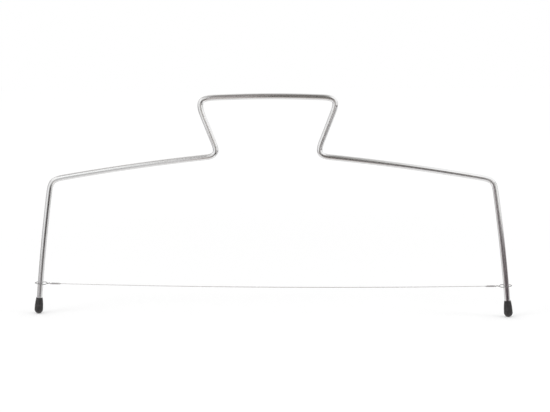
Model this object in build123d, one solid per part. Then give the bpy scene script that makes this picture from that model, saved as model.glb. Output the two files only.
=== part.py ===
"""Cake leveler: one round rod bent into two legs and a handle, a slip-on cap on each foot,
and a cutting wire whose two end loops slide up and down the legs.

The wire is one length on the real tool. It is written as three solids that meet face to
face: the wire between the legs, and at each end the loop with the twist that closes it.

The tool stands as it is used. The origin is on the table midway between the feet, +X runs
along the tool to the right, +Y to the back and +Z up. All sizes are in millimetres.
"""
import os
from math import acos, atan, ceil, cos, dist, pi, sin, sqrt

from build123d import *

# Frame rod and the outline of its centreline
rod_diameter = 3.8
feet_spacing = 328.0
shoulder_spacing = 306.3
shoulder_height = 94.4
neck_spacing = 67.2
neck_rise = 16.6
handle_length = 98.1
handle_rise = 39.5
handle_offset = -1.6
leg_bow = 0.8
shoulder_crown = 1.2
handle_crown = 1.4
shoulder_bend_radius = 8.9
neck_bend_radius = 4.4
handle_bend_radius = 5.8

# Foot caps
cap_length = 11.3
cap_floor = 2.0
cap_mouth_wall = 0.35
cap_belly_wall = 1.05
cap_lip_chamfer = 0.15

# Cutting wire between the legs
wire_diameter = 0.45
wire_height = 21.1
wire_sag = 1.6
wire_sides = 8
wire_facet_depth = 0.05

# Loop at each end of the wire
loop_seat_gap = 0.12
loop_outer_play = 2.0
loop_inner_play = 3.1
loop_taper_length = 3.1
loop_climb = 1.4

# Levels of the loop along its way, as shares of its climb
front_inner_share = -0.45
front_outer_share = -0.15
outer_end_share = 0.2
back_outer_share = 0.45
back_inner_share = 0.5

# Twist that closes each loop: the tail laid loosely, then tightly, round the standing wire
open_turns = 1
open_pitch = 1.7
tight_turns = 11
turn_gap = 0.06
core_gap = 0.08
tail_lift = 0.3
stations_per_turn = 4
gap_point_spacing = 0.1
straight_share = 1e-9

rod_radius = rod_diameter / 2
wire_radius = wire_diameter / 2
cap_radius = rod_radius + cap_belly_wall
neck_height = shoulder_height + neck_rise
handle_height = neck_height + handle_rise
leg_slope = (feet_spacing - shoulder_spacing) / 2 / shoulder_height
foot_slope = leg_slope - 4 * leg_bow / shoulder_height * (1 - 2 * cap_radius / shoulder_height)
foot_lean = atan(foot_slope)
rod_end_height = cap_radius - (cap_radius - cap_floor) * cos(foot_lean)
tight_pitch = wire_diameter + turn_gap
loop_apex = loop_inner_play + loop_taper_length
twist_end = loop_apex + open_turns * open_pitch + tight_turns * tight_pitch
loop_reach = twist_end + tight_pitch

LEFT = -1
RIGHT = 1


def leg_x(height):
    """Distance of a leg's axis from the middle of the tool at a height above the table.

    The legs bow outward between the feet and the shoulders.
    """
    share = height / shoulder_height
    return feet_spacing / 2 - leg_slope * height + 4 * leg_bow * share * (1 - share)


def foot_plane(side):
    """Plane across a leg at the centre of its cap's belly, with its normal up the leg."""
    return Plane(
        origin=(side * leg_x(cap_radius), 0, cap_radius),
        x_dir=(0, 1, 0),
        z_dir=(-side * sin(foot_lean), 0, cos(foot_lean)),
    )


def frame_corners():
    """Corners of the rod's centreline, as X and Z, from the left foot to the right one."""
    rod_end_x = leg_x(rod_end_height)
    return [
        (-rod_end_x, rod_end_height),
        (-shoulder_spacing / 2, shoulder_height),
        (handle_offset - neck_spacing / 2, neck_height),
        (handle_offset - handle_length / 2, handle_height),
        (handle_offset + handle_length / 2, handle_height),
        (handle_offset + neck_spacing / 2, neck_height),
        (shoulder_spacing / 2, shoulder_height),
        (rod_end_x, rod_end_height),
    ]


def frame_path():
    """Centreline of the rod: bowed legs, straight handle sides, crowned shoulders and grip."""
    corners = frame_corners()
    leg_crown = leg_bow * (1 - rod_end_height / shoulder_height) ** 2
    crowns = [leg_crown, shoulder_crown, 0, handle_crown, 0, shoulder_crown, leg_crown]
    half_bends = [shoulder_bend_radius, neck_bend_radius, handle_bend_radius]
    bends = half_bends + half_bends[::-1]
    with BuildLine(Plane.XZ) as line:
        for start, end, crown in zip(corners[:-1], corners[1:], crowns):
            if crown:
                SagittaArc(start, end, crown)
            else:
                Line(start, end)
        for corner, radius in zip(corners[1:-1], bends):
            place = Plane.XZ.from_local_coords(corner)
            fillet(line.vertices().sort_by_distance(place)[0], radius=radius)
    return line.wires()[0]


def foot_cap(side):
    """Soft cap pulled over a leg's end: a round belly on the table and a thin mouth above."""
    mouth = cap_length - cap_radius
    floor = cap_floor - cap_radius
    mouth_radius = rod_radius + cap_mouth_wall
    lip_chamfer = min(cap_lip_chamfer, cap_mouth_wall / 2)
    with BuildSketch(Plane.XZ) as section:
        with BuildLine():
            CenterArc((0, 0), cap_radius, -90, 90)
            TangentArc((cap_radius, 0), (mouth_radius, mouth), tangent=(0, 1))
            Line((mouth_radius, mouth), (rod_radius, mouth))
            Line((rod_radius, mouth), (rod_radius, floor))
            Line((rod_radius, floor), (0, floor))
            Line((0, floor), (0, -cap_radius))
        make_face()
        lip = section.vertices().group_by(Axis.Y)[-1].sort_by(Axis.X)[-1]
        chamfer(lip, length=lip_chamfer)
    return foot_plane(side) * revolve(section.sketch, Axis.Z)


def twist_stations():
    """Points and ways of the tail from the loop's apex along the twist to its cut end."""
    core_radius = wire_diameter + core_gap
    steps = (open_turns + tight_turns) * stations_per_turn
    stations = []
    for step in range(steps + 1):
        turn = step / stations_per_turn
        loose = min(turn, open_turns)
        pitch = open_pitch if turn < open_turns else tight_pitch
        radius = core_radius + (tail_lift if step == steps else 0)
        angle = 2 * pi * turn
        along = loop_apex + open_pitch * loose + tight_pitch * (turn - loose)
        place = Vector(along, radius * cos(angle), radius * sin(angle))
        way = Vector(pitch / 2 / pi, -radius * sin(angle), radius * cos(angle))
        stations.append((place, way.normalized()))
    return stations


def end_stations():
    """Points and ways of one end of the wire: tail, twist, loop round the leg, standing wire.

    They lie in the end's own axes: X from the leg inward along the wire, Y back, Z up. The
    standing wire ends one turn past the twist, where the wire between the legs takes over.
    """
    half_width = rod_radius + loop_seat_gap + wire_radius
    outward, forward, inward = Vector(-1, 0, 0), Vector(0, -1, 0), Vector(1, 0, 0)
    tail = [(place, -way) for place, way in reversed(twist_stations())]
    ring = [
        (Vector(loop_inner_play, half_width, loop_climb * back_inner_share), outward),
        (Vector(-loop_outer_play, half_width, loop_climb * back_outer_share), outward),
        (Vector(-loop_outer_play - half_width, 0, loop_climb * outer_end_share), forward),
        (Vector(-loop_outer_play, -half_width, loop_climb * front_outer_share), inward),
        (Vector(loop_inner_play, -half_width, loop_climb * front_inner_share), inward),
    ]
    standing = [(Vector(loop_apex, 0, 0), inward), (Vector(loop_reach, 0, 0), inward)]
    return tail + ring + standing


def biarc(start, start_way, end, end_way):
    """Two arcs that leave one point along its way and reach the next along its own."""
    chord = end - start
    bend = chord.cross(start_way).length + chord.cross(end_way).length
    if bend < chord.length * straight_share:
        return [Line(start, end)]
    ahead = chord.dot(start_way + end_way)
    turn = 1 - start_way.dot(end_way)
    if turn < straight_share:
        reach = chord.dot(chord) / 2 / ahead
    else:
        reach = (sqrt(ahead**2 + 2 * turn * chord.dot(chord)) - ahead) / 2 / turn
    start_knee = start + start_way * reach
    end_knee = end - end_way * reach
    middle = (start_knee + end_knee) / 2
    return [
        TangentArc(start, middle, tangent=start_way),
        TangentArc(middle, end, tangent=end_knee - start_knee),
    ]


def wire_ends():
    """Points and ways of the wire's left end and right end, in order from left to right."""
    droop = 2 * atan(wire_sag / (leg_x(wire_height) - loop_reach))
    left_end = Plane(
        origin=(-leg_x(wire_height), 0, wire_height),
        x_dir=(cos(droop), 0, -sin(droop)),
        z_dir=(sin(droop), 0, cos(droop)),
    )
    turned = Plane(origin=(0, 0, 0), x_dir=left_end.x_dir, z_dir=left_end.z_dir)
    left = [
        (left_end.from_local_coords(place), turned.from_local_coords(way))
        for place, way in end_stations()
    ]
    right = [
        (Vector(-place.X, place.Y, place.Z), Vector(way.X, -way.Y, -way.Z))
        for place, way in reversed(left)
    ]
    return left, right


def wire_path(stations):
    """Centreline of a piece of the wire through points, along its way at each."""
    edges = []
    for (start, start_way), (end, end_way) in zip(stations[:-1], stations[1:]):
        edges += biarc(start, start_way, end, end_way)
    return Wire(edges)


def bar(path, radius):
    """Round bar of a radius along a path."""
    return sweep(Plane(origin=path @ 0, z_dir=path % 0) * Circle(radius), path=path)


def facet_stations(path):
    """Points and ways along a path, near enough that straight facets follow its arcs."""
    stations = []
    for edge in path.edges():
        facets = 1
        if edge.geom_type == GeomType.CIRCLE:
            facet_turn = 2 * acos(1 - wire_facet_depth / edge.radius)
            facets = ceil(edge.length / edge.radius / facet_turn)
        stations += [(edge @ (step / facets), edge % (step / facets)) for step in range(facets)]
    return stations + [(path @ 1, path % 1)]


def faceted_bar(path, radius):
    """Fine bar along a path: many-sided sections joined by flat-sided stretches.

    Each section keeps its first corner facing as the one before it, so that no facet winds
    round the bar.
    """
    facing = Vector(1, 0, 0)
    sections = []
    for place, way in facet_stations(path):
        facing = (facing - way * facing.dot(way)).normalized()
        across = Plane(origin=place, x_dir=facing, z_dir=way)
        sections.append(across * RegularPolygon(radius, wire_sides))
    return loft(sections, ruled=True)


def least_gap(path):
    """Least gap between a piece of the wire and itself, measured on points along it.

    Points less than half a turn of the twist apart along the wire aren't compared.
    """
    steps = ceil(path.length / gap_point_spacing)
    points = [tuple(path @ (step / steps)) for step in range(steps + 1)]
    apart = ceil(pi * (wire_diameter + core_gap) / gap_point_spacing)
    nearest = min(
        dist(point, later) for index, point in enumerate(points) for later in points[index + apart:]
    )
    return nearest - wire_diameter


left_end, right_end = wire_ends()
left_loop, right_loop = wire_path(left_end), wire_path(right_end)
parts = {
    "frame": bar(frame_path(), rod_radius),
    "left_foot_cap": foot_cap(LEFT),
    "right_foot_cap": foot_cap(RIGHT),
    "left_wire_loop": faceted_bar(left_loop, wire_radius),
    "cutting_wire": faceted_bar(wire_path([left_end[-1], right_end[0]]), wire_radius),
    "right_wire_loop": faceted_bar(right_loop, wire_radius),
}
print(f"least gap of the wire to itself: {min(least_gap(left_loop), least_gap(right_loop)):.3f} mm")

os.makedirs("parts", exist_ok=True)
for name, solid in parts.items():
    export_step(solid, f"parts/{name}.step")
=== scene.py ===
"""Cake leveler: one bent bright rod, a soft black tip on each foot and a twisted cutting wire.

Metres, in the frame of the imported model: +X to the right, +Y to the back, +Z up, with the
origin on the table midway between the feet.
"""
from functools import reduce
from math import atan, cos, exp, pi, radians, sin, tan

import bmesh
import bpy
from mathutils import Matrix, Vector
from mathutils.geometry import interpolate_bezier


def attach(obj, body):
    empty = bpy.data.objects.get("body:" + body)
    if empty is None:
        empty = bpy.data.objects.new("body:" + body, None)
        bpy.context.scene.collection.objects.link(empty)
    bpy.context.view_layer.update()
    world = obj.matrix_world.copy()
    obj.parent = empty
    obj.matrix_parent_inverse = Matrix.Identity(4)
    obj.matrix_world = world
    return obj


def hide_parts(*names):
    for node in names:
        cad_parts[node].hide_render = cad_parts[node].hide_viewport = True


MM = 0.001
MICRON = 0.001 * MM

LEFT = -1
RIGHT = 1
RIGHTWARD = Vector((1, 0, 0))
BACKWARD = Vector((0, 1, 0))
UPWARD = Vector((0, 0, 1))

# Rod: its section and the outline of its centreline
ROD_RADIUS = 1.9 * MM
FEET_SPACING = 328.0 * MM
SHOULDER_SPACING = 306.3 * MM
SHOULDER_HEIGHT = 94.4 * MM
NECK_SPACING = 67.2 * MM
NECK_RISE = 16.6 * MM
HANDLE_LENGTH = 98.1 * MM
HANDLE_RISE = 39.5 * MM
HANDLE_OFFSET = -1.6 * MM
LEG_BOW = 0.8 * MM
SHOULDER_CROWN = 1.2 * MM
HANDLE_CROWN = 1.4 * MM
ROD_SIDES = 64
SPAN_STEPS = 60
BEND_STEPS = 36

# Bends from the left shoulder to the right one: the radius of an arc through the middle of
# each, and how many times further from its corner the bend starts than that arc
BEND_RADII = [radius * MM for radius in (8.24, 4.81, 5.98, 4.93, 5.09, 7.69)]
BEND_EASES = [1.66, 1.44, 1.52, 1.65, 1.51, 1.61]

# How far the middle of a cubic curve follows its two handles
HANDLE_PULL = 0.75

# A full bend makes the rod thinner on its outer side and a little wider across
FULL_BEND_RADIUS = 6.0 * MM
OUTER_THINNING_SHARE = 0.035
SIDE_SWELLING_SHARE = 0.012
BEND_BLUR_STEPS = 4

# Soft tips
TIP_LENGTH = 11.3 * MM
TIP_FLOOR = 2.0 * MM
TIP_MOUTH_WALL = 0.35 * MM
TIP_BELLY_WALL = 1.05 * MM
TIP_LIP_ROUND = 0.14 * MM
TIP_BORE_GAP = 0.01 * MM
TIP_SIDES = 144
TIP_BORE_STEPS = 8
TIP_LIP_STEPS = 8
TIP_SIDE_STEPS = 24
TIP_BELLY_STEPS = 24
SEAM_HEIGHT = 0.035 * MM
SEAM_WIDTH = 0.11 * MM
SEAM_CROWDING_SHARE = 0.85

# Cutting wire and the loop at each of its ends
WIRE_RADIUS = 0.225 * MM
WIRE_HEIGHT = 21.5 * MM
WIRE_SAG = 1.6 * MM
LOOP_SEAT_GAP = 0.12 * MM
LOOP_OUTER_PLAY = 1.45 * MM
LOOP_INNER_PLAY = 3.1 * MM
LOOP_TAPER = 2.6 * MM
LOOP_CLIMB = 1.1 * MM
OPEN_TURNS = 1
OPEN_PITCH = 2.2 * MM
TIGHT_TURNS = 11
TURN_GAP = 0.06 * MM
CORE_GAP = 0.02 * MM
TAIL_LIFT = 0.3 * MM
WIRE_SIDES = 12
WIRE_STEP = 0.35 * MM
WIRE_FEWEST_STEPS = 3
WIRE_MOST_STEPS = 120
STATIONS_PER_TURN = 8
CUT_PINCH_SHARE = 0.55
CUT_RINGS = 4
TWIST_DULL_SHARE = 0.3

# Levels of the loop along its way, as shares of its climb
BACK_INNER_SHARE = 0.5
BACK_OUTER_SHARE = 0.45
OUTER_END_SHARE = 0.2
FRONT_OUTER_SHARE = -0.15
FRONT_INNER_SHARE = -0.45

# Lines of the drawing die: how much wider the ripples under them are and how high next to
# them, and the noise levels between which a line deepens
RIPPLE_WIDENING = 6
RIPPLE_SHARE = 0.6
LINE_LEVELS = (0.56, 0.7)

# Marks of handling: the noise levels between which a smear and a patch of hair scratches set
# in, how thin a hair is for its length, how far its noise may be from a hair's own level, and
# the turn and the shift of each set of hairs
SMEAR_LEVELS = (0.45, 0.72)
HAIR_PATCH_LEVELS = (0.52, 0.6)
HAIR_PATCH_SCALE = 0.31
HAIR_THINNESS = 0.04
HAIR_LEVEL = 0.5
HAIR_HALF_BAND = 0.012
HAIR_SETS = [(0.35, 3.0), (-0.8, 17.0), (1.25, 41.0)]

# Fine grain: the slower swell under it, and its pits, from the middle of a cell to their rim
SWELL_SCALE = 0.16
SWELL_SHARE = 1.5
PIT_SCALE = 0.35
PIT_LEVELS = (0.05, 0.16)

# Camera, as it looks at the middle of the photographed tool
CAMERA_DISTANCE = 1000 * MM
CAMERA_TARGET = Vector((3.41, 0, 76.31)) * MM
CAMERA_YAW = radians(4.29)
CAMERA_PITCH = radians(6.08)
CAMERA_ROLL = radians(-0.34)
PIXEL_AT_TOOL = 0.69 * MM
PHOTO_WIDTH = 550
SENSOR_WIDTH = 36

# Floor and surroundings
WHITE = (1, 1, 1, 1)
FLOOR_HALF_WIDTH = 6.0
FLOOR_COLOUR = (0.8, 0.8, 0.8, 1)
FLOOR_REACHES = (0.05, 1.6)
FLOOR_GLOWS = (0.235, 0.36)
SKY_LIGHT = 0.8

# Soft square lamps that face the middle of the tool: name, place, size and power
LAMPS = [
    ("upper_left_lamp", (-0.9, -0.9, 1.5), 0.7, 6.0),
    ("right_lamp", (1.3, -0.4, 0.9), 0.6, 3.0),
]

# For each side of the tool, the way in which distances are counted and the two ways across it
SET_WAYS = {
    "front": (BACKWARD, RIGHTWARD, UPWARD),
    "back": (BACKWARD, RIGHTWARD, UPWARD),
    "left": (RIGHTWARD, BACKWARD, UPWARD),
    "right": (RIGHTWARD, BACKWARD, UPWARD),
    "top": (UPWARD, RIGHTWARD, BACKWARD),
}

# Films round the tool that darken what the metal mirrors: name, the side that each stands on
# and how far off, its middle and half sizes across, the share of each half that fades out, and
# the shade of the rest
FILMS = [
    ("front_low", "front", -0.220, (0.304, -0.032), (0.895, 0.128), 0.99, (0.141, 0.108, 0.126)),
    ("front_middle", "front", -0.696, (0.022, 0.002), (0.190, 0.140), 0.59, (0.010, 0.010, 0.013)),
    ("front_tall", "front", -0.653, (0.110, 0.930), (0.191, 1.454), 0.20, (0.619, 0.627, 0.605)),
    ("front_grey", "front", -0.272, (-0.047, 0.706), (0.228, 0.645), 0.72, (0.239, 0.218, 0.210)),
    ("front_deep", "front", -0.238, (-0.242, -0.675), (0.836, 0.486), 0.87, (0.060, 0.037, 0.021)),
    ("front_wide", "front", -0.875, (0.079, 0.458), (0.380, 0.327), 0.49, (0.268, 0.226, 0.228)),
    ("front_right", "front", -0.705, (0.654, 0.359), (0.370, 0.584), 0.52, (0.569, 0.549, 0.542)),
    ("front_left", "front", -0.481, (-0.260, 0.075), (0.195, 0.725), 0.66, (0.668, 0.674, 0.667)),
    ("front_small", "front", -0.516, (0.310, -0.190), (0.143, 0.154), 0.30, (0.010, 0.010, 0.012)),
    ("overhead", "top", 0.814, (-0.174, -0.016), (0.486, 0.180), 0.40, (0.124, 0.118, 0.105)),
    ("left", "left", -0.571, (0.041, 0.106), (0.504, 0.423), 0.85, (0.404, 0.401, 0.403)),
    ("left_low", "left", -0.363, (-0.291, -0.102), (0.180, 0.127), 0.57, (0.291, 0.230, 0.247)),
    ("right", "right", 0.718, (-0.050, 0.006), (0.850, 0.072), 0.80, (0.229, 0.198, 0.210)),
    ("right_low", "right", 0.693, (-0.037, -0.288), (0.326, 0.752), 0.28, (0.470, 0.472, 0.460)),
    ("left_back", "back", 0.644, (-0.329, 0.153), (0.696, 1.319), 0.57, (0.342, 0.325, 0.317)),
    ("right_back", "back", 0.833, (0.505, 0.032), (0.351, 0.327), 0.51, (0.080, 0.078, 0.077)),
    ("front_slim", "front", -0.221, (-0.010, -0.134), (0.087, 0.382), 0.48, (0.745, 0.705, 0.678)),
    ("front_patch", "front", -0.422, (0.301, 0.041), (0.244, 0.218), 0.39, (0.742, 0.726, 0.727)),
    ("right_patch", "right", 0.746, (-0.345, 0.310), (0.188, 0.146), 0.63, (0.697, 0.712, 0.698)),
]

# Softboxes far behind the films, given in the same way, with their glow beyond plain white
SOFTBOXES = [
    ("left_far", "left", -1.900, (-0.129, 0.353), (0.882, 0.458), 0.42, 0.60),
    ("right_far", "right", 1.901, (-0.295, 0.208), (0.932, 0.730), 0.44, 0.86),
    ("front_left_far", "front", -1.901, (-0.776, 1.157), (0.410, 0.985), 0.34, 0.46),
    ("front_right_far", "front", -1.901, (1.016, 0.594), (0.332, 0.128), 0.47, 1.02),
    ("back_far", "back", 1.898, (-0.663, 1.757), (0.559, 1.029), 0.43, 1.22),
]

NECK_HEIGHT = SHOULDER_HEIGHT + NECK_RISE
HANDLE_HEIGHT = NECK_HEIGHT + HANDLE_RISE
TIP_RADIUS = ROD_RADIUS + TIP_BELLY_WALL
LEG_SLOPE = (FEET_SPACING - SHOULDER_SPACING) / 2 / SHOULDER_HEIGHT
FOOT_SLOPE = LEG_SLOPE - 4 * LEG_BOW / SHOULDER_HEIGHT * (1 - 2 * TIP_RADIUS / SHOULDER_HEIGHT)
FOOT_LEAN = atan(FOOT_SLOPE)
ROD_END_HEIGHT = TIP_RADIUS - (TIP_RADIUS - TIP_FLOOR) * cos(FOOT_LEAN)
CORE_RADIUS = 2 * WIRE_RADIUS + CORE_GAP
TIGHT_PITCH = 2 * WIRE_RADIUS + TURN_GAP
LOOP_APEX = LOOP_INNER_PLAY + LOOP_TAPER
TIGHT_START = LOOP_APEX + OPEN_TURNS * OPEN_PITCH
TWIST_END = TIGHT_START + TIGHT_TURNS * TIGHT_PITCH


def leg_x(height):
    """Distance of a leg's axis from the middle of the tool at a height above the table.

    The legs bow outward between the feet and the shoulders, most of all halfway up.
    """
    share = height / SHOULDER_HEIGHT
    return FEET_SPACING / 2 - LEG_SLOPE * height + 4 * LEG_BOW * share * (1 - share)


def curve_between(start, start_way, end, end_way, steps, reach=None):
    """Points of a smooth curve that leaves start along its way and reaches end along its own.

    Without a reach, how far it keeps to those ways, it is as near as can be to an arc.
    """
    if reach is None:
        reach = (end - start).length / 3 / cos(start_way.angle(end_way) / 4) ** 2
    points = interpolate_bezier(
        start, start + start_way * reach, end - end_way * reach, end, steps + 1
    )
    return [Vector(point) for point in points]


def crown_side(start, end):
    """Way in which a stretch of the rod swells: to its left as it runs."""
    return Vector((start.z - end.z, 0, end.x - start.x)).normalized()


def span_point(start, end, crown, share):
    """Point of a crowned stretch of the rod, at a share of its length."""
    return start.lerp(end, share) + crown_side(start, end) * crown * 4 * share * (1 - share)


def span_way(start, end, crown, share):
    """Way along a crowned stretch of the rod, at a share of its length."""
    return (end - start + crown_side(start, end) * crown * 4 * (1 - 2 * share)).normalized()


def eased_bend(turn, radius, ease):
    """How far from its corner a bend starts, and how far it reaches along its first way.

    An ease of 1 gives an arc, whose reach is 4/3 of its radius times the tangent of a quarter
    of its turn. A larger ease starts the bend sooner and bends it more gently there, through
    the same point at its middle.
    """
    arc_cut = radius * tan(turn / 2)
    arc_share = 4 / 3 * tan(turn / 4) / tan(turn / 2)
    middle_share = (1 - HANDLE_PULL * arc_share) / ease
    cut = arc_cut * ease
    return cut, cut * (1 - middle_share) / HANDLE_PULL


def rod_spans():
    """Stretches of the rod from corner to corner, left to right: start, end and crown."""
    corners = [
        Vector((-leg_x(ROD_END_HEIGHT), 0, ROD_END_HEIGHT)),
        Vector((-SHOULDER_SPACING / 2, 0, SHOULDER_HEIGHT)),
        Vector((HANDLE_OFFSET - NECK_SPACING / 2, 0, NECK_HEIGHT)),
        Vector((HANDLE_OFFSET - HANDLE_LENGTH / 2, 0, HANDLE_HEIGHT)),
        Vector((HANDLE_OFFSET + HANDLE_LENGTH / 2, 0, HANDLE_HEIGHT)),
        Vector((HANDLE_OFFSET + NECK_SPACING / 2, 0, NECK_HEIGHT)),
        Vector((SHOULDER_SPACING / 2, 0, SHOULDER_HEIGHT)),
        Vector((leg_x(ROD_END_HEIGHT), 0, ROD_END_HEIGHT)),
    ]
    leg_crown = LEG_BOW * (1 - ROD_END_HEIGHT / SHOULDER_HEIGHT) ** 2
    crowns = [leg_crown, SHOULDER_CROWN, 0, HANDLE_CROWN, 0, SHOULDER_CROWN, leg_crown]
    return list(zip(corners[:-1], corners[1:], crowns))


def rod_centreline():
    """Points along the rod's centreline, from the left foot over the handle to the right one."""
    spans = rod_spans()
    starts, ends, reaches = [0.0], [], []
    for before, after, radius, ease in zip(spans[:-1], spans[1:], BEND_RADII, BEND_EASES):
        turn = span_way(*before, 1).angle(span_way(*after, 0))
        cut, reach = eased_bend(turn, radius, ease)
        reaches.append(reach)
        ends.append(1 - cut / (before[1] - before[0]).length)
        starts.append(cut / (after[1] - after[0]).length)
    ends.append(1.0)
    points = []
    for index, span in enumerate(spans):
        first, last = starts[index], ends[index]
        shares = [first + (last - first) * step / SPAN_STEPS for step in range(SPAN_STEPS + 1)]
        points += [span_point(*span, share) for share in shares]
        if index < len(reaches):
            following = spans[index + 1]
            bend_points = curve_between(
                span_point(*span, last),
                span_way(*span, last),
                span_point(*following, starts[index + 1]),
                span_way(*following, starts[index + 1]),
                BEND_STEPS,
                reaches[index],
            )
            points += bend_points[1:-1]
    return points


def ways_along(points):
    """Way of a line at each of its points."""
    ways = []
    for index in range(len(points)):
        before = points[max(index - 1, 0)]
        after = points[min(index + 1, len(points) - 1)]
        ways.append((after - before).normalized())
    return ways


def new_object(name, data):
    """Object of a mesh, a lamp or a camera, in the scene."""
    made = bpy.data.objects.new(name, data)
    bpy.context.scene.collection.objects.link(made)
    return made


def mesh_from(name, bm):
    """Smooth-shaded mesh of a bmesh, which is freed."""
    bmesh.ops.recalc_face_normals(bm, faces=bm.faces)
    mesh = bpy.data.meshes.new(name)
    bm.to_mesh(mesh)
    bm.free()
    mesh.shade_smooth()
    return mesh


def add_mark(made, name, values):
    """Keeps a number for each vertex of an object's mesh under a name, for its material."""
    kept = made.data.attributes.new(name, "FLOAT", "POINT")
    kept.data.foreach_set("value", values)


def bar(name, points, radius, sides, facing, squeeze):
    """Round bar along points, with the places of its skin on the bar as if it were straight.

    The first spoke of each ring faces the given way, as near as the bar's own way lets it,
    and squeeze gives the share by which a spoke's radius is changed at a ring.
    """
    bm = bmesh.new()
    straight = bm.verts.layers.float_vector.new("straightened")
    rings = []
    along = 0.0
    spoke = facing
    for index, (point, way) in enumerate(zip(points, ways_along(points))):
        if index:
            along += (point - points[index - 1]).length
        spoke = (spoke - way * spoke.dot(way)).normalized()
        across = way.cross(spoke)
        ring = []
        for side in range(sides):
            angle = 2 * pi * side / sides
            reach = radius * (1 + squeeze(index, angle))
            vert = bm.verts.new(point + (spoke * cos(angle) + across * sin(angle)) * reach)
            vert[straight] = Vector((along, radius * cos(angle), radius * sin(angle)))
            ring.append(vert)
        rings.append(ring)
    for ring, following in zip(rings[:-1], rings[1:]):
        for side in range(sides):
            after = (side + 1) % sides
            bm.faces.new((ring[side], ring[after], following[after], following[side]))
    bm.faces.new(reversed(rings[0]))
    bm.faces.new(rings[-1])
    return new_object(name, mesh_from(name, bm))


def bend_shares(points):
    """How sharply the rod is bent at each point: 1 in a full bend, below 0 where it turns back."""
    ways = ways_along(points)
    shares = [0.0]
    for index in range(1, len(points) - 1):
        turn = ways[index - 1].cross(ways[index + 1]).y
        length = (points[index + 1] - points[index - 1]).length
        shares.append(max(-1.0, min(1.0, turn / length * FULL_BEND_RADIUS)))
    shares.append(0.0)
    blurred = []
    for index in range(len(shares)):
        near = shares[max(index - BEND_BLUR_STEPS, 0):index + BEND_BLUR_STEPS + 1]
        blurred.append(sum(near) / len(near))
    return blurred


def make_rod():
    """The bent rod of the frame, thinner on the outer side of each bend."""
    points = rod_centreline()
    shares = bend_shares(points)

    def squeeze(index, angle):
        bend = shares[index]
        outer = max(0.0, sin(angle) * (1 if bend > 0 else -1))
        return abs(bend) * (SIDE_SWELLING_SHARE * cos(angle) ** 2 - OUTER_THINNING_SHARE * outer**2)

    rod = bar("bent_rod", points, ROD_RADIUS, ROD_SIDES, BACKWARD, squeeze)
    add_mark(rod, "bent", [abs(share) for share in shares for _ in range(ROD_SIDES)])
    return rod


def tip_profile():
    """Outline of a soft tip from the bore's floor, as radius and height above its belly's centre.

    It runs up the bore, over the rounded lip, down the swelling side and under the belly.
    """
    floor = TIP_FLOOR - TIP_RADIUS
    top = TIP_LENGTH - TIP_RADIUS - TIP_LIP_ROUND
    bore = ROD_RADIUS + TIP_BORE_GAP
    mouth_radius = ROD_RADIUS + TIP_MOUTH_WALL
    lip_middle, lip_half = (bore + mouth_radius) / 2, (mouth_radius - bore) / 2
    outline = [(0, floor)]
    for step in range(TIP_BORE_STEPS + 1):
        outline.append((bore, floor + (top - floor) * step / TIP_BORE_STEPS))
    for step in range(1, TIP_LIP_STEPS + 1):
        angle = pi - pi * step / TIP_LIP_STEPS
        outline.append((lip_middle + lip_half * cos(angle), top + TIP_LIP_ROUND * sin(angle)))
    for step in range(1, TIP_SIDE_STEPS + 1):
        share = 1 - step / TIP_SIDE_STEPS
        outline.append((TIP_RADIUS - (TIP_RADIUS - mouth_radius) * share**2, top * share))
    for step in range(1, TIP_BELLY_STEPS):
        angle = pi / 2 * step / TIP_BELLY_STEPS
        outline.append((TIP_RADIUS * cos(angle), -TIP_RADIUS * sin(angle)))
    return outline + [(0, -TIP_RADIUS)]


def seam_swell(angle, radius, height):
    """How far the mould's seam stands out of a tip's skin. It runs out halfway down the belly."""
    fading_height = TIP_RADIUS / 2
    if radius < ROD_RADIUS + TIP_MOUTH_WALL / 2 or height < -fading_height:
        return 0.0
    away = radius * sin(angle)
    fading = min(1.0, (height + fading_height) / fading_height)
    return SEAM_HEIGHT * fading * exp(-((away / SEAM_WIDTH * 2) ** 2))


def tip_rings(bm):
    """Rings of a soft tip's vertices along its outline, each crowded towards the two seams.

    The first ring and the last are one vertex each.
    """
    even = [2 * pi * step / TIP_SIDES for step in range(TIP_SIDES)]
    angles = [angle - SEAM_CROWDING_SHARE / 2 * sin(2 * angle) for angle in even]
    rings = []
    for radius, height in tip_profile():
        if radius == 0:
            rings.append([bm.verts.new((0, 0, height))])
            continue
        ring = []
        for angle in angles:
            reach = radius + seam_swell(angle, radius, height)
            ring.append(bm.verts.new((reach * cos(angle), reach * sin(angle), height)))
        rings.append(ring)
    return rings


def make_tip(side):
    """Soft tip on a foot: a turned skin with a fine mould seam down its two sides."""
    name = "left_soft_tip" if side == LEFT else "right_soft_tip"
    bm = bmesh.new()
    rings = tip_rings(bm)
    for ring, following in zip(rings[:-1], rings[1:]):
        for step in range(TIP_SIDES):
            after = (step + 1) % TIP_SIDES
            corners = [ring[step % len(ring)], ring[after % len(ring)]]
            corners += [following[after % len(following)], following[step % len(following)]]
            bm.faces.new(list(dict.fromkeys(corners)))
    rubbed = [max(0.0, -vert.co.z / TIP_RADIUS) ** 2 for vert in bm.verts]
    lean = Matrix.Rotation(-side * FOOT_LEAN, 4, "Y")
    place = Matrix.Translation((side * leg_x(TIP_RADIUS), 0, TIP_RADIUS))
    bm.transform(place @ lean)
    tip = new_object(name, mesh_from(name, bm))
    add_mark(tip, "rubbed", rubbed)
    return tip


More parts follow.
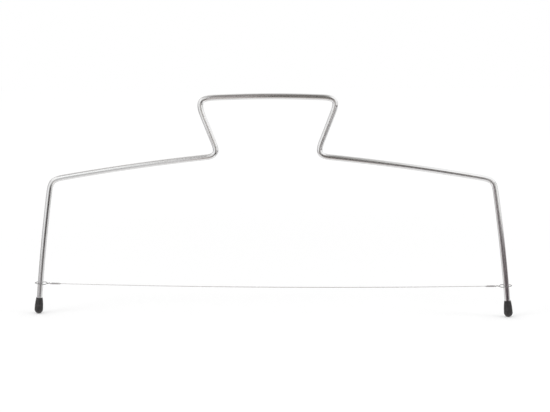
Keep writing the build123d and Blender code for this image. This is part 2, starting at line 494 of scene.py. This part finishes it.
def twist_stations():
    """Points and ways of the tail from the loop's apex along the twist to its cut end."""
    steps = (OPEN_TURNS + TIGHT_TURNS) * STATIONS_PER_TURN
    stations = []
    for step in range(steps + 1):
        turn = step / STATIONS_PER_TURN
        loose = min(turn, OPEN_TURNS)
        pitch = OPEN_PITCH if turn < OPEN_TURNS else TIGHT_PITCH
        radius = CORE_RADIUS + (TAIL_LIFT if step == steps else 0)
        angle = 2 * pi * turn
        along = LOOP_APEX + OPEN_PITCH * loose + TIGHT_PITCH * (turn - loose)
        place = Vector((along, radius * cos(angle), radius * sin(angle)))
        way = Vector((pitch / 2 / pi, -radius * sin(angle), radius * cos(angle)))
        stations.append((place, way.normalized()))
    return stations


def end_stations():
    """Points and ways of one end of the wire, in its own axes: X inward along the wire, Z up."""
    half_width = ROD_RADIUS + LOOP_SEAT_GAP + WIRE_RADIUS
    outward, forward, inward = Vector((-1, 0, 0)), Vector((0, -1, 0)), Vector((1, 0, 0))
    tail = [(place, -way) for place, way in reversed(twist_stations())]
    inner, outer = LOOP_INNER_PLAY, -LOOP_OUTER_PLAY
    ring = [
        (Vector((inner, half_width, LOOP_CLIMB * BACK_INNER_SHARE)), outward),
        (Vector((outer, half_width, LOOP_CLIMB * BACK_OUTER_SHARE)), outward),
        (Vector((outer - half_width, 0, LOOP_CLIMB * OUTER_END_SHARE)), forward),
        (Vector((outer, -half_width, LOOP_CLIMB * FRONT_OUTER_SHARE)), inward),
        (Vector((inner, -half_width, LOOP_CLIMB * FRONT_INNER_SHARE)), inward),
    ]
    return tail + ring + [(Vector((LOOP_APEX, 0, 0)), inward), (Vector((TWIST_END, 0, 0)), inward)]


def left_end_place():
    """Where the wire's left end lies in the frame: at the leg, sloping down along the sag."""
    droop = 2 * atan(WIRE_SAG / (leg_x(WIRE_HEIGHT) - TWIST_END))
    place = Matrix.Translation((-leg_x(WIRE_HEIGHT), 0, WIRE_HEIGHT))
    return place @ Matrix.Rotation(droop, 4, "Y")


def wire_centreline():
    """Points along the whole wire, from the cut end of its left tail to that of its right."""
    place = left_end_place()
    turned = place.to_3x3()
    left = [(place @ point, turned @ way) for point, way in end_stations()]
    right = [
        (Vector((-point.x, point.y, point.z)), Vector((way.x, -way.y, -way.z)))
        for point, way in reversed(left)
    ]
    both = left + right
    points = [both[0][0]]
    for (start, start_way), (end, end_way) in zip(both[:-1], both[1:]):
        steps = round((end - start).length / WIRE_STEP)
        steps = max(WIRE_FEWEST_STEPS, min(WIRE_MOST_STEPS, steps))
        points += curve_between(start, start_way, end, end_way, steps)[1:]
    return points


def folded_to_left(point):
    """A point of the wire in its left end's own axes, with the right half folded onto the left."""
    return left_end_place().inverted() @ Vector((-abs(point.x), point.y, point.z))


def crevice_depth(point):
    """How deep a point lies among a twist's tight turns: 0 outside, 1 at the wire within."""
    own = folded_to_left(point)
    if own.x < TIGHT_START or own.x > TWIST_END:
        return 0.0
    outermost = CORE_RADIUS + WIRE_RADIUS
    return max(0.0, min(1.0, (outermost - Vector((own.y, own.z)).length) / WIRE_RADIUS / 2))


def worked_share(point):
    """How far the wire is dulled: 1 round the loop, which rubs on the leg, and 0 past the twist."""
    own = folded_to_left(point)
    if own.x < LOOP_APEX:
        return 1.0
    return max(0.0, 1 - (own.x - LOOP_APEX) / (TWIST_END - LOOP_APEX)) ** 0.5 * TWIST_DULL_SHARE


def make_wire():
    """The cutting wire with its two loops and twists, each tail's end pinched where it was cut."""
    points = wire_centreline()

    def pinch(index, angle):
        from_end = min(index, len(points) - 1 - index)
        return -CUT_PINCH_SHARE * max(0.0, 1 - from_end / CUT_RINGS) * abs(cos(angle))

    wire = bar("twisted_wire", points, WIRE_RADIUS, WIRE_SIDES, RIGHTWARD, pinch)
    add_mark(wire, "crevice", [crevice_depth(vert.co) for vert in wire.data.vertices])
    add_mark(wire, "worked", [worked_share(vert.co) for vert in wire.data.vertices])
    return wire


def feed(tree, socket, value):
    """Links a node's input to the socket that is given, or sets it to a plain value."""
    if isinstance(value, bpy.types.NodeSocket):
        tree.links.new(value, socket)
    else:
        socket.default_value = value


def node(tree, kind, inputs=None, **settings):
    """Shader node of a kind, with the sockets or values of its inputs."""
    made = tree.nodes.new("ShaderNode" + kind)
    for setting, value in settings.items():
        setattr(made, setting, value)
    for label, value in (inputs or {}).items():
        feed(tree, made.inputs[label], value)
    return made


def calculated(tree, operation, *values):
    """Result of a Math node on sockets or numbers."""
    return node(tree, "Math", dict(enumerate(values)), operation=operation).outputs[0]


def combined(tree, operation, values):
    """Result of Math nodes that take up one value after another."""
    return reduce(lambda total, value: calculated(tree, operation, total, value), values)


def ramped(tree, value, levels, results=(0.0, 1.0)):
    """A value eased between two results as it goes from one level to the other."""
    ranges = dict(zip(("From Min", "From Max", "To Min", "To Max"), (*levels, *results)))
    eased = node(tree, "MapRange", {"Value": value, **ranges}, interpolation_type="SMOOTHSTEP")
    return eased.outputs["Result"]


def blended(tree, share, first, second):
    """Mix of two colours by a share."""
    mixed = node(tree, "Mix", {0: share, 6: first, 7: second}, data_type="RGBA")
    return mixed.outputs[2]


def sized(tree, place, length, width):
    """A place in units of a length and a width, so that a noise on it is as long and as wide."""
    lengths = node(tree, "CombineXYZ", {"X": length, "Y": width, "Z": width}).outputs[0]
    return node(tree, "VectorMath", {0: place, 1: lengths}, operation="DIVIDE").outputs["Vector"]


def noise(tree, place, **settings):
    """Noise at a place, with features about a unit long unless its Scale says otherwise."""
    return node(tree, "TexNoise", {"Vector": place, "Scale": 1, **settings}).outputs["Fac"]


def mark(tree, name):
    """A number or place kept on the mesh under a name."""
    return node(tree, "Attribute", attribute_name=name, attribute_type="GEOMETRY")


def new_group(name, sizes, outputs):
    """Node group of an effect: its tree, its inputs and its output sockets.

    Its inputs are a place on the surface and the sizes, which are given with their defaults.
    """
    tree = bpy.data.node_groups.new(name, "ShaderNodeTree")
    tree.interface.new_socket("Place", in_out="INPUT", socket_type="NodeSocketVector")
    for label, size in sizes.items():
        socket = tree.interface.new_socket(label, in_out="INPUT", socket_type="NodeSocketFloat")
        socket.default_value = size
    for label in outputs:
        tree.interface.new_socket(label, in_out="OUTPUT", socket_type="NodeSocketFloat")
    return tree, tree.nodes.new("NodeGroupInput").outputs, tree.nodes.new("NodeGroupOutput").inputs


def placed(tree, group, **inputs):
    """A node group placed in a material, with spaces for the underscores of its inputs' names."""
    made = tree.nodes.new("ShaderNodeGroup")
    made.node_tree = group
    for label, value in inputs.items():
        feed(tree, made.inputs[label.replace("_", " ")], value)
    return made.outputs


def drawing_lines():
    """Fine lines that a drawing die leaves along a rod or wire, with broader ripples under them."""
    tree, given, result = new_group(
        "drawing_lines", {"Length": 20 * MM, "Width": 0.1 * MM}, ["Height", "Lines"]
    )
    place, length, width = given["Place"], given["Length"], given["Width"]
    ripple_width = calculated(tree, "MULTIPLY", width, RIPPLE_WIDENING)
    fine = noise(tree, sized(tree, place, length, width), Detail=3)
    ripple = noise(tree, sized(tree, place, length, ripple_width), Detail=1)
    height = calculated(tree, "MULTIPLY_ADD", ripple, RIPPLE_SHARE, fine)
    tree.links.new(height, result["Height"])
    tree.links.new(ramped(tree, fine, LINE_LEVELS), result["Lines"])
    return tree


def hair_set(tree, place, length, width, turn, shift):
    """One set of hair scratches in patches, at a turn to the rod or wire."""
    turned = node(tree, "VectorRotate", {"Vector": place, "Angle": turn}, rotation_type="Z_AXIS")
    spread = {0: sized(tree, turned.outputs[0], length, width), 1: (shift, shift, shift)}
    moved = node(tree, "VectorMath", spread, operation="ADD").outputs[0]
    off_level = calculated(tree, "SUBTRACT", noise(tree, moved, Detail=0), HAIR_LEVEL)
    off_level = calculated(tree, "ABSOLUTE", off_level)
    hair = ramped(tree, off_level, (0.0, HAIR_HALF_BAND), (1.0, 0.0))
    patch = ramped(tree, noise(tree, moved, Scale=HAIR_PATCH_SCALE, Detail=1), HAIR_PATCH_LEVELS)
    return calculated(tree, "MULTIPLY", hair, patch)


def handling_marks():
    """Cloudy smears left by hands and cloths, and thin hair scratches that cross them."""
    tree, given, result = new_group(
        "handling_marks",
        {"Smear Size": 10 * MM, "Scratch Size": 4 * MM},
        ["Smears", "Scratches"],
    )
    place, smear_size, length = given["Place"], given["Smear Size"], given["Scratch Size"]
    smear_place = sized(tree, place, smear_size, smear_size)
    cloud = noise(tree, smear_place, Detail=5, Roughness=0.6, Distortion=0.4)
    tree.links.new(ramped(tree, cloud, SMEAR_LEVELS), result["Smears"])
    width = calculated(tree, "MULTIPLY", length, HAIR_THINNESS)
    sets = [hair_set(tree, place, length, width, turn, shift) for turn, shift in HAIR_SETS]
    tree.links.new(combined(tree, "MAXIMUM", sets), result["Scratches"])
    return tree


def fine_grain():
    """Even fine grain: tiny pits and bumps of a size, and a slower swell under them."""
    tree, given, result = new_group("fine_grain", {"Grain Size": 0.2 * MM}, ["Height", "Pits"])
    place = sized(tree, given["Place"], given["Grain Size"], given["Grain Size"])
    grain = noise(tree, place, Detail=2, Roughness=0.55)
    swell = noise(tree, place, Scale=SWELL_SCALE, Detail=1)
    height = calculated(tree, "MULTIPLY_ADD", swell, SWELL_SHARE, grain)
    tree.links.new(height, result["Height"])
    cells = node(tree, "TexVoronoi", {"Vector": place, "Scale": PIT_SCALE})
    pits = ramped(tree, cells.outputs["Distance"], PIT_LEVELS, (1.0, 0.0))
    tree.links.new(pits, result["Pits"])
    return tree


def new_material(name):
    """Material with a Principled shader: the material, its node tree and the shader."""
    material = bpy.data.materials.new(name)
    material.use_nodes = True
    tree = material.node_tree
    return material, tree, tree.nodes["Principled BSDF"]


def roughened(tree, shader, plain, additions):
    """Gives a shader its roughness: a plain one, and pairs of a mask and what it adds."""
    total = plain
    for mask, more in additions:
        total = calculated(tree, "MULTIPLY_ADD", mask, more, total)
    tree.links.new(total, shader.inputs["Roughness"])


def raised(tree, shader, heights):
    """Gives a shader's surface its relief, as pairs of a height share and a depth in metres."""
    metres = [calculated(tree, "MULTIPLY", height, depth) for height, depth in heights]
    total = combined(tree, "ADD", metres)
    bump = node(tree, "Bump", {"Height": total, "Strength": 1.0, "Distance": 1.0})
    tree.links.new(bump.outputs["Normal"], shader.inputs["Normal"])


def bright_plating(lines, marks, grain):
    """Bright plated steel: fine lines along the rod, smears, hair scratches, haze in the bends."""
    clean, hazed, scratched = (0.91, 0.91, 0.915, 1), (0.83, 0.82, 0.80, 1), (0.66, 0.655, 0.65, 1)
    haze_share, pit_share, straight_grain_share = 0.45, 0.7, 0.15
    material, tree, shader = new_material("bright_plating")
    shader.inputs["Metallic"].default_value = 1.0
    place = mark(tree, "straightened").outputs["Vector"]
    bent = mark(tree, "bent").outputs["Fac"]
    drawn = placed(tree, lines, Place=place, Length=35 * MM, Width=0.09 * MM)
    handled = placed(tree, marks, Place=place, Smear_Size=11 * MM, Scratch_Size=7 * MM)
    grained = placed(tree, grain, Place=place, Grain_Size=0.16 * MM)
    haze = calculated(tree, "MULTIPLY", handled["Smears"], haze_share)
    pits = calculated(tree, "MULTIPLY", grained["Pits"], handled["Smears"])
    bare_pits = calculated(tree, "MULTIPLY", pits, pit_share)
    worn = calculated(tree, "MAXIMUM", handled["Scratches"], bare_pits)
    colour = blended(tree, worn, blended(tree, haze, clean, hazed), scratched)
    tree.links.new(colour, shader.inputs["Base Color"])
    additions = [(handled["Smears"], 0.05), (drawn["Lines"], 0.02), (bent, 0.03), (worn, 0.15)]
    roughened(tree, shader, 0.03, additions)
    grain_share = calculated(tree, "ADD", bent, straight_grain_share)
    heights = [
        (drawn["Height"], 0.9 * MICRON),
        (calculated(tree, "MULTIPLY", grained["Height"], grain_share), 2.2 * MICRON),
        (handled["Scratches"], -0.6 * MICRON),
        (pits, -2.0 * MICRON),
    ]
    raised(tree, shader, heights)
    return material


def soft_black_plastic(marks, grain):
    """Matte black soft plastic: orange peel, a dull bloom, and pale rubbing on the belly."""
    black, bloomed = (0.03, 0.0275, 0.0285, 1), (0.056, 0.052, 0.053, 1)
    scuffed = (0.14, 0.135, 0.13, 1)
    scuff_share, rubbed_grain_levels = 0.75, (0.9, 1.45)
    material, tree, shader = new_material("soft_black_plastic")
    shader.inputs["Specular IOR Level"].default_value = 0.42
    place = node(tree, "TexCoord").outputs["Object"]
    rubbed = mark(tree, "rubbed").outputs["Fac"]
    handled = placed(tree, marks, Place=place, Smear_Size=2.4 * MM, Scratch_Size=2.6 * MM)
    grained = placed(tree, grain, Place=place, Grain_Size=0.14 * MM)
    high_grain = ramped(tree, grained["Height"], rubbed_grain_levels)
    worn_belly = calculated(tree, "MULTIPLY", rubbed, high_grain)
    scuffs = calculated(tree, "MAXIMUM", worn_belly, handled["Scratches"])
    paling = calculated(tree, "MULTIPLY", scuffs, scuff_share)
    colour = blended(tree, paling, blended(tree, handled["Smears"], black, bloomed), scuffed)
    tree.links.new(colour, shader.inputs["Base Color"])
    roughened(tree, shader, 0.46, [(handled["Smears"], 0.1), (scuffs, 0.2)])
    heights = [
        (grained["Height"], 7 * MICRON),
        (grained["Pits"], -5 * MICRON),
        (handled["Scratches"], -4 * MICRON),
    ]
    raised(tree, shader, heights)
    return material


def drawn_wire_steel(lines, marks):
    """Drawn stainless wire: lines along it, smears, dull loops, and painted shade between the turns
    of each twist.
    """
    bright, dull = (0.92, 0.905, 0.91, 1), (0.76, 0.745, 0.74, 1)
    # The loops' tarnish is the wire's own; the darker grey beside it is painted shade between the
    # twist's turns
    tarnished, crevice_shade = (0.17, 0.165, 0.165, 1), (0.22, 0.215, 0.21, 1)
    smear_share, line_share = 0.6, 0.4
    tarnish_levels, tarnish_shares = (0.55, 1.0), (1.0, 0.8)
    crevice_shade_mask_levels, crevice_shade_mask_shares, crevice_shade_levels = (0.5, 0.9), (0.55, 1.0), (0.2, 0.75)
    material, tree, shader = new_material("drawn_wire_steel")
    shader.inputs["Metallic"].default_value = 1.0
    place = mark(tree, "straightened").outputs["Vector"]
    crevice = mark(tree, "crevice").outputs["Fac"]
    worked = mark(tree, "worked").outputs["Fac"]
    drawn = placed(tree, lines, Place=place, Length=6 * MM, Width=0.03 * MM)
    handled = placed(tree, marks, Place=place, Smear_Size=3 * MM, Scratch_Size=1.5 * MM)
    smeared = calculated(tree, "MULTIPLY", handled["Smears"], smear_share)
    lined = calculated(tree, "MULTIPLY", drawn["Lines"], line_share)
    uneven_tarnish = ramped(tree, drawn["Height"], tarnish_levels, tarnish_shares)
    tarnish = calculated(tree, "MULTIPLY", worked, uneven_tarnish)
    # Mask of the painted shade between the twist's tight turns, uneven along the wire; it also
    # roughens them
    uneven_crevice_shade = ramped(tree, drawn["Height"], crevice_shade_mask_levels, crevice_shade_mask_shares)
    crevice_shade_mask = calculated(tree, "MULTIPLY", crevice, uneven_crevice_shade)
    colour = blended(tree, lined, blended(tree, smeared, bright, dull), dull)
    colour = blended(tree, tarnish, colour, tarnished)
    # Paints shade between the twist's turns over the wire's colour
    colour = blended(tree, ramped(tree, crevice_shade_mask, crevice_shade_levels), colour, crevice_shade)
    tree.links.new(colour, shader.inputs["Base Color"])
    additions = [(handled["Smears"], 0.12), (drawn["Lines"], 0.08), (crevice_shade_mask, 0.3)]
    roughened(tree, shader, 0.2, additions)
    raised(tree, shader, [(drawn["Height"], 1.2 * MICRON), (handled["Scratches"], -1.5 * MICRON)])
    return material


def seen_directly(tree):
    """1 for what the camera sees, also mirrored or through glass, and 0 for all other light."""
    rays = node(tree, "LightPath").outputs
    mirrored = calculated(tree, "MAXIMUM", rays["Is Glossy Ray"], rays["Is Transmission Ray"])
    return calculated(tree, "MAXIMUM", rays["Is Camera Ray"], mirrored)


def flat_sheet(name, middle, across, along):
    """Flat sheet of the set, by its middle and its two half sizes as ways."""
    bm = bmesh.new()
    corners = [middle + across * a + along * b for a, b in ((-1, -1), (1, -1), (1, 1), (-1, 1))]
    bm.faces.new([bm.verts.new(corner) for corner in corners])
    sheet = new_object(name, mesh_from(name, bm))
    return sheet


def make_floor():
    """Plain white floor that runs far back and keeps the tool's soft shadow."""
    half = FLOOR_HALF_WIDTH
    floor = flat_sheet("floor", Vector((0, 0, 0)), RIGHTWARD * half, BACKWARD * half)
    material, tree, shader = new_material("white_floor")
    shader.inputs["Base Color"].default_value = FLOOR_COLOUR
    shader.inputs["Roughness"].default_value = 1.0
    shader.inputs["Specular IOR Level"].default_value = 0.0
    shader.inputs["Emission Color"].default_value = WHITE
    place = node(tree, "TexCoord").outputs["Object"]
    away = node(tree, "VectorMath", {0: place}, operation="LENGTH").outputs["Value"]
    glow = ramped(tree, away, FLOOR_REACHES, FLOOR_GLOWS)
    glow = calculated(tree, "MULTIPLY", seen_directly(tree), glow)
    tree.links.new(glow, shader.inputs["Emission Strength"])
    floor.data.materials.append(material)
    floor.visible_glossy = False


def make_world():
    """Even surroundings, white to the eye and in reflections, and softer as light."""
    world = bpy.data.worlds.new("white_surroundings")
    world.use_nodes = True
    tree = world.node_tree
    background = tree.nodes["Background"]
    background.inputs["Color"].default_value = WHITE
    strength = ramped(tree, seen_directly(tree), (0, 1), (SKY_LIGHT, 1.0))
    tree.links.new(strength, background.inputs["Strength"])
    bpy.context.scene.world = world


def set_piece(name, stands_on, away, middle, halves, soft):
    """Sheet of the set that only the metal mirrors: its material's tree and a fading share."""
    out, across, along = SET_WAYS[stands_on]
    middle = out * away + across * middle[0] + along * middle[1]
    across, along = across * halves[0], along * halves[1]
    sheet = flat_sheet(name, middle, across, along)
    sheet.visible_camera = False
    sheet.visible_diffuse = False
    sheet.visible_transmission = False
    sheet.visible_shadow = False
    material = bpy.data.materials.new(name)
    material.use_nodes = True
    sheet.data.materials.append(material)
    tree = material.node_tree
    tree.nodes.clear()
    place = node(tree, "TexCoord").outputs["Object"]
    from_middle = node(tree, "VectorMath", {0: place, 1: middle}, operation="SUBTRACT").outputs[0]
    edges = []
    for half in (across, along):
        share_way = half / half.length_squared
        part = node(tree, "VectorMath", {0: from_middle, 1: share_way}, operation="DOT_PRODUCT")
        off = calculated(tree, "ABSOLUTE", part.outputs["Value"])
        edges.append(ramped(tree, off, (1 - soft, 1), (1.0, 0.0)))
    return tree, combined(tree, "MULTIPLY", edges)


def make_film(name, *place_and_size, shade):
    """Film that darkens what the metal mirrors through it."""
    tree, fade = set_piece(f"{name}_film", *place_and_size)
    tint = blended(tree, fade, WHITE, (*shade, 1))
    clear = node(tree, "BsdfTransparent", {"Color": tint})
    node(tree, "OutputMaterial", {"Surface": clear.outputs[0]})


def make_softbox(name, *place_and_size, glow):
    """Softbox that brightens the white which the metal mirrors."""
    tree, fade = set_piece(f"{name}_softbox", *place_and_size)
    lit = node(tree, "Emission", {"Strength": calculated(tree, "MULTIPLY", fade, glow)})
    clear = node(tree, "BsdfTransparent")
    both = node(tree, "AddShader", {0: clear.outputs[0], 1: lit.outputs[0]})
    node(tree, "OutputMaterial", {"Surface": both.outputs[0]})


def make_lamp(name, place, size, power):
    """Soft square lamp that faces the middle of the tool."""
    data = bpy.data.lights.new(name, "AREA")
    data.size = size
    data.energy = power
    lamp = new_object(name, data)
    way = Vector((0, 0, HANDLE_HEIGHT / 2)) - Vector(place)
    lamp.rotation_euler = way.to_track_quat("-Z", "Y").to_euler()
    lamp.location = place
    lamp.visible_glossy = False


def make_camera():
    """Camera at the photograph's angle."""
    data = bpy.data.cameras.new("photo_camera")
    data.sensor_width = SENSOR_WIDTH
    data.lens = CAMERA_DISTANCE / PIXEL_AT_TOOL * SENSOR_WIDTH / PHOTO_WIDTH
    camera = new_object("photo_camera", data)
    back = Vector((
        sin(CAMERA_YAW) * cos(CAMERA_PITCH),
        -cos(CAMERA_YAW) * cos(CAMERA_PITCH),
        sin(CAMERA_PITCH),
    ))
    level_right = Vector((cos(CAMERA_YAW), sin(CAMERA_YAW), 0))
    level_up = back.cross(level_right)
    right = level_right * cos(CAMERA_ROLL) + level_up * sin(CAMERA_ROLL)
    up = back.cross(right)
    turn = Matrix((right, up, back)).transposed().to_4x4()
    camera.matrix_world = Matrix.Translation(CAMERA_TARGET + back * CAMERA_DISTANCE) @ turn
    bpy.context.scene.camera = camera


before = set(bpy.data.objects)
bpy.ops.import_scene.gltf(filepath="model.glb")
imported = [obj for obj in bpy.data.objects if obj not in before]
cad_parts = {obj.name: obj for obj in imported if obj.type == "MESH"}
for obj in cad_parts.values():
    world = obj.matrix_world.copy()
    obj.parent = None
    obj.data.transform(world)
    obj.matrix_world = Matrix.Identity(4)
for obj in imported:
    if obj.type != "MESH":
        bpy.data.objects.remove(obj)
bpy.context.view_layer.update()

lines, marks, grain = drawing_lines(), handling_marks(), fine_grain()

rod = make_rod()
rod.data.materials.append(bright_plating(lines, marks, grain))
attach(rod, "frame_body")
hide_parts("frame")

tip_plastic = soft_black_plastic(marks, grain)
for side, node_name in ((LEFT, "left_foot_cap"), (RIGHT, "right_foot_cap")):
    tip = make_tip(side)
    tip.data.materials.append(tip_plastic)
    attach(tip, "frame_body")
    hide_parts(node_name)

wire = make_wire()
wire.data.materials.append(drawn_wire_steel(lines, marks))
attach(wire, "wire_body")
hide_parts("cutting_wire", "left_wire_loop", "right_wire_loop")

make_floor()
make_world()
for *film, shade in FILMS:
    make_film(*film, shade=shade)
for *softbox, glow in SOFTBOXES:
    make_softbox(*softbox, glow=glow)
for lamp in LAMPS:
    make_lamp(*lamp)
make_camera()
bpy.context.scene.view_settings.view_transform = "Standard"
